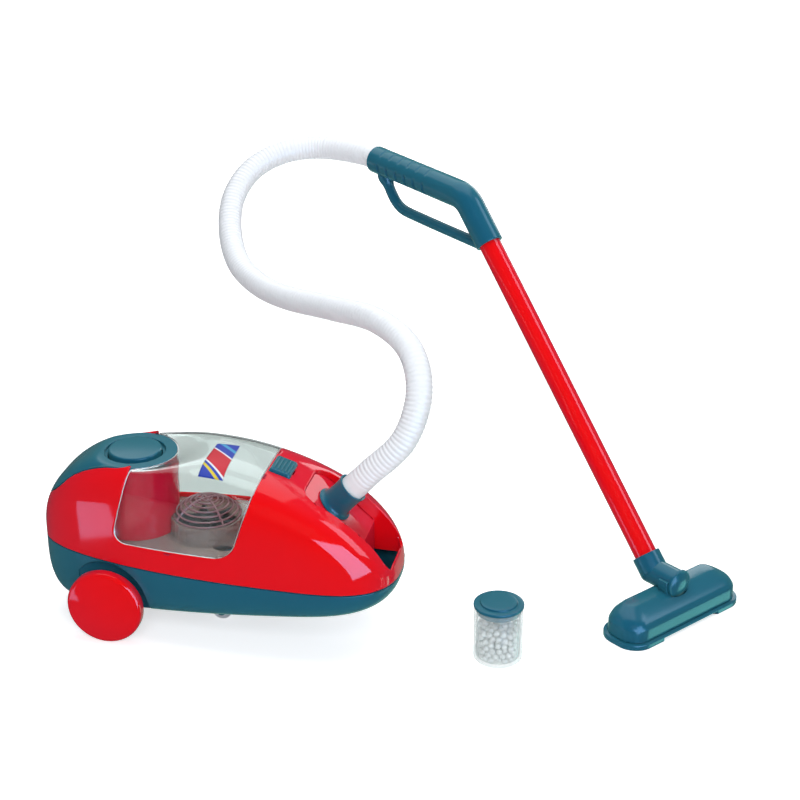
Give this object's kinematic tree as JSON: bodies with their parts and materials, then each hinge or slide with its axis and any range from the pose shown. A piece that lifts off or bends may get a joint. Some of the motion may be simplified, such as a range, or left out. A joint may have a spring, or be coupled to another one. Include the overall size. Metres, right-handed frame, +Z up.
{
  "type": "toy canister vacuum cleaner set",
  "caption": "Toy canister vacuum cleaner with a clear dust chamber, ribbed hose, wand with grip and tilting floor head, and a jar of foam balls.",
  "frame": {"origin": "on the floor under the middle of the set's box without the hose", "axes": "+X along the canister towards its nose, +Z up, +Y away from the canister's right side towards the handle"},
  "size_m": [0.5904, 0.4346, 0.335],
  "materials": {
    "teal_plastic": "moulded, glossy",
    "red_plastic": "moulded, glossy",
    "clear_plastic": "clear",
    "steel": "plated",
    "dark_plastic": "matt",
    "white_plastic": "satin",
    "foam": "foam"
  },
  "bodies": {
    "canister": {"lower_shell": "teal_plastic", "upper_shell": "red_plastic", "rear_panel": "teal_plastic", "power_switch": "dark_plastic", "button_spring": "steel", "motor_tower": "red_plastic", "chamber_floor": "clear_plastic", "chamber_bulkhead": "red_plastic", "filter_grille": "clear_plastic", "motor": "steel", "motor_mount": "dark_plastic", "batteries": "dark_plastic", "battery_tray": "dark_plastic", "battery_contacts": "steel", "battery_door": "teal_plastic", "rear_axle": "steel", "castor_bush": "white_plastic", "hose_connector": "teal_plastic", "hose": "white_plastic", "body_screws": "steel"},
    "button": {"power_button": "teal_plastic"},
    "lid": {"window_lid": "clear_plastic"},
    "latch": {"lid_latch": "teal_plastic"},
    "fan": {"fan_impeller": "dark_plastic", "motor_shaft": "steel"},
    "wheel_right": {"rear_wheel_right": "red_plastic"},
    "wheel_left": {"rear_wheel_left": "red_plastic"},
    "castor": {"castor_fork": "teal_plastic", "castor_pin": "steel"},
    "castor_roller": {"castor_wheel": "white_plastic"},
    "wand": {"handle": "teal_plastic", "wand_tube": "red_plastic", "nozzle_neck": "teal_plastic"},
    "nozzle": {"nozzle_head": "teal_plastic", "nozzle_sole": "teal_plastic", "sole_screws": "steel"},
    "pot": {"jar": "clear_plastic", "foam_balls": "foam"},
    "pot_lid": {"jar_lid": "teal_plastic"}
  },
  "joints": [
    {"name": "rear_wheel_right_spin", "type": "hinge", "parent": "canister", "child": "wheel_right", "pos_m": [-0.22645, -0.18717, 0.033], "axis": [0, 1, 0], "continuous": true},
    {"name": "rear_wheel_left_spin", "type": "hinge", "parent": "canister", "child": "wheel_left", "pos_m": [-0.22645, -0.08717, 0.033], "axis": [0, 1, 0], "continuous": true},
    {"name": "castor_swivel", "type": "hinge", "parent": "canister", "child": "castor", "pos_m": [-0.13445, -0.13717, 0.02], "axis": [0, 0, 1], "continuous": true},
    {"name": "castor_spin", "type": "hinge", "parent": "castor", "child": "castor_roller", "pos_m": [-0.14145, -0.13717, 0.009], "axis": [0, 1, 0], "continuous": true},
    {"name": "button_press", "type": "slide", "parent": "canister", "child": "button", "axis": [0, 0, -1], "range_m": [0, 0.003], "stiffness_N_per_m": 500, "springref_m": -0.002, "deforming": ["button_spring"]},
    {"name": "latch_slide", "type": "slide", "parent": "canister", "child": "latch", "axis": [0.95, 0, -0.3124], "range_m": [0, 0.005], "stiffness_N_per_m": 300, "springref_m": -0.002},
    {"name": "lid_lift", "type": "slide", "parent": "canister", "child": "lid", "axis": [0.309, 0, 0.9511], "range_m": [0, 0.08]},
    {"name": "fan_spin", "type": "hinge", "parent": "canister", "child": "fan", "pos_m": [-0.15145, -0.13717, 0.09], "axis": [0, 0, 1], "continuous": true},
    {"name": "wand_push", "type": "slide", "parent": "canister", "child": "wand", "axis": [0.788, -0.6157, 0], "range_m": [-0.04, 0.06], "deforming": ["hose"]},
    {"name": "nozzle_tilt", "type": "hinge", "parent": "wand", "child": "nozzle", "pos_m": [0.24655, -0.06217, 0.036], "axis": [-0.788, 0.6157, 0], "range_deg": [-25, 25]},
    {"name": "jar_lift", "type": "slide", "parent": "canister", "child": "pot", "axis": [0, 0, 1], "range_m": [0, 0.1]},
    {"name": "jar_lid_lift", "type": "slide", "parent": "pot", "child": "pot_lid", "axis": [0, 0, 1], "range_m": [0, 0.06]}
  ]
}
